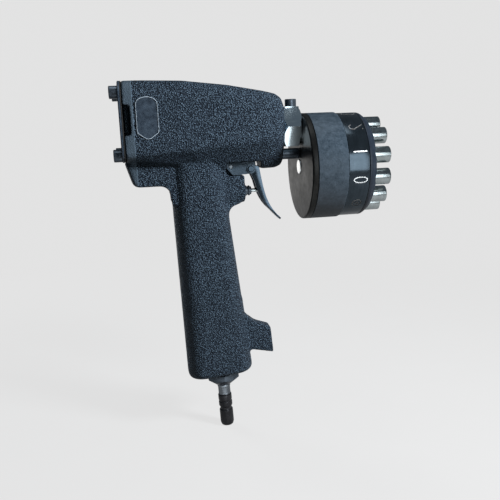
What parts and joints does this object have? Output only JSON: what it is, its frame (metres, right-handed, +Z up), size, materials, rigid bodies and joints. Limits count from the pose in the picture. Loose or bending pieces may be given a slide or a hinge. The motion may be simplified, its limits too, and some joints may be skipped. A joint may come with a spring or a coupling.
{
  "type": "pneumatic turret marking gun",
  "caption": "Hand-held air-powered marking gun: a hammer in a black cast barrel strikes the top punch of a turning turret that carries steel punches.",
  "frame": {"origin": "middle of the grip, on the handle's axis, in the gun's plane of symmetry", "axes": "+X the way the blow goes, along the strike axis; +Z up the handle towards the barrel; +Y the gun's left side"},
  "size_m": [0.1977, 0.08, 0.2719],
  "materials": {
    "cast": "black crinkle coat on a casting",
    "black_steel": "blackened, smooth",
    "bright_steel": "turned, bright plated",
    "grey_steel": "turned, dark grey",
    "matte_black": "matte black",
    "bronze": "turned bronze",
    "rubber": "matte",
    "gasket": "pressed fibre"
  },
  "bodies": {
    "gun": {"housing": "cast", "cylinder_liner": "grey_steel", "rear_gasket": "gasket", "rear_plate": "black_steel", "rear_screw_1": "black_steel", "rear_screw_2": "black_steel", "rear_screw_3": "black_steel", "rear_screw_4": "black_steel", "nose_bush": "bronze", "front_buffer": "rubber", "hex_collar": "bright_steel", "collar_screw": "black_steel", "locating_pin": "black_steel", "carrier_disc": "black_steel", "axle": "bright_steel", "axle_washer": "grey_steel", "axle_nut": "grey_steel", "trigger_bracket": "cast", "bracket_pin": "grey_steel", "trigger_pin": "bright_steel", "valve_bush": "black_steel", "inlet_seal": "rubber", "inlet_bushing": "black_steel", "inlet_neck": "black_steel", "air_plug": "black_steel", "hammer_spring": "grey_steel", "valve_spring": "grey_steel", "detent_spring": "grey_steel"},
    "hammer": {"hammer_piston": "bright_steel", "piston_ring": "rubber"},
    "turret": {"turret_drum": "black_steel", "grip_sleeve": "matte_black", "front_plate": "matte_black", "turret_bush": "bronze", "return_ring": "rubber"},
    "punch_01_body": {"punch_01": "bright_steel"},
    "punch_02_body": {"punch_02": "bright_steel"},
    "punch_03_body": {"punch_03": "bright_steel"},
    "punch_04_body": {"punch_04": "bright_steel"},
    "punch_05_body": {"punch_05": "bright_steel"},
    "punch_06_body": {"punch_06": "bright_steel"},
    "punch_07_body": {"punch_07": "bright_steel"},
    "punch_08_body": {"punch_08": "bright_steel"},
    "punch_09_body": {"punch_09": "bright_steel"},
    "punch_10_body": {"punch_10": "bright_steel"},
    "punch_11_body": {"punch_11": "bright_steel"},
    "punch_12_body": {"punch_12": "bright_steel"},
    "detent": {"detent_ball": "bright_steel"},
    "trigger": {"trigger_lever": "bright_steel"},
    "valve": {"valve_stem": "bright_steel", "valve_seal": "rubber"}
  },
  "joints": [
    {"name": "turret_turn", "type": "hinge", "parent": "gun", "child": "turret", "pos_m": [0, 0, 0.0845], "axis": [1, 0, 0], "continuous": true},
    {"name": "hammer_slide", "type": "slide", "parent": "gun", "child": "hammer", "axis": [1, 0, 0], "range_m": [0, 0.03], "stiffness_N_per_m": 300, "springref_m": -0.005, "deforming": ["hammer_spring"]},
    {"name": "detent_slide", "type": "slide", "parent": "gun", "child": "detent", "axis": [-1, 0, 0], "range_m": [0, 0.001], "stiffness_N_per_m": 1500, "springref_m": -0.001, "deforming": ["detent_spring"]},
    {"name": "trigger_pull", "type": "hinge", "parent": "gun", "child": "trigger", "pos_m": [0.0347, 0, 0.0853], "axis": [0, 1, 0], "range_deg": [0, 10], "stiffness_Nm_per_rad": 0.3, "springref_deg": -5.73},
    {"name": "valve_slide", "type": "slide", "parent": "gun", "child": "valve", "axis": [-1, 0, 0], "range_m": [0, 0.003], "deforming": ["valve_spring"]},
    {"name": "punch_01_slide", "type": "slide", "parent": "turret", "child": "punch_01_body", "axis": [1, 0, 0], "range_m": [0, 0.004], "stiffness_N_per_m": 800, "springref_m": -0.001, "deforming": ["return_ring"]},
    {"name": "punch_02_slide", "type": "slide", "parent": "turret", "child": "punch_02_body", "axis": [1, 0, 0], "range_m": [0, 0.004], "stiffness_N_per_m": 800, "springref_m": -0.001, "deforming": ["return_ring"]},
    {"name": "punch_03_slide", "type": "slide", "parent": "turret", "child": "punch_03_body", "axis": [1, 0, 0], "range_m": [0, 0.004], "stiffness_N_per_m": 800, "springref_m": -0.001, "deforming": ["return_ring"]},
    {"name": "punch_04_slide", "type": "slide", "parent": "turret", "child": "punch_04_body", "axis": [1, 0, 0], "range_m": [0, 0.004], "stiffness_N_per_m": 800, "springref_m": -0.001, "deforming": ["return_ring"]},
    {"name": "punch_05_slide", "type": "slide", "parent": "turret", "child": "punch_05_body", "axis": [1, 0, 0], "range_m": [0, 0.004], "stiffness_N_per_m": 800, "springref_m": -0.001, "deforming": ["return_ring"]},
    {"name": "punch_06_slide", "type": "slide", "parent": "turret", "child": "punch_06_body", "axis": [1, 0, 0], "range_m": [0, 0.004], "stiffness_N_per_m": 800, "springref_m": -0.001, "deforming": ["return_ring"]},
    {"name": "punch_07_slide", "type": "slide", "parent": "turret", "child": "punch_07_body", "axis": [1, 0, 0], "range_m": [0, 0.004], "stiffness_N_per_m": 800, "springref_m": -0.001, "deforming": ["return_ring"]},
    {"name": "punch_08_slide", "type": "slide", "parent": "turret", "child": "punch_08_body", "axis": [1, 0, 0], "range_m": [0, 0.004], "stiffness_N_per_m": 800, "springref_m": -0.001, "deforming": ["return_ring"]},
    {"name": "punch_09_slide", "type": "slide", "parent": "turret", "child": "punch_09_body", "axis": [1, 0, 0], "range_m": [0, 0.004], "stiffness_N_per_m": 800, "springref_m": -0.001, "deforming": ["return_ring"]},
    {"name": "punch_10_slide", "type": "slide", "parent": "turret", "child": "punch_10_body", "axis": [1, 0, 0], "range_m": [0, 0.004], "stiffness_N_per_m": 800, "springref_m": -0.001, "deforming": ["return_ring"]},
    {"name": "punch_11_slide", "type": "slide", "parent": "turret", "child": "punch_11_body", "axis": [1, 0, 0], "range_m": [0, 0.004], "stiffness_N_per_m": 800, "springref_m": -0.001, "deforming": ["return_ring"]},
    {"name": "punch_12_slide", "type": "slide", "parent": "turret", "child": "punch_12_body", "axis": [1, 0, 0], "range_m": [0, 0.004], "stiffness_N_per_m": 800, "springref_m": -0.001, "deforming": ["return_ring"]}
  ],
  "couplings": [
    {"joint": "valve_slide", "follows": "trigger_pull", "m_per_rad": 0.0169}
  ]
}
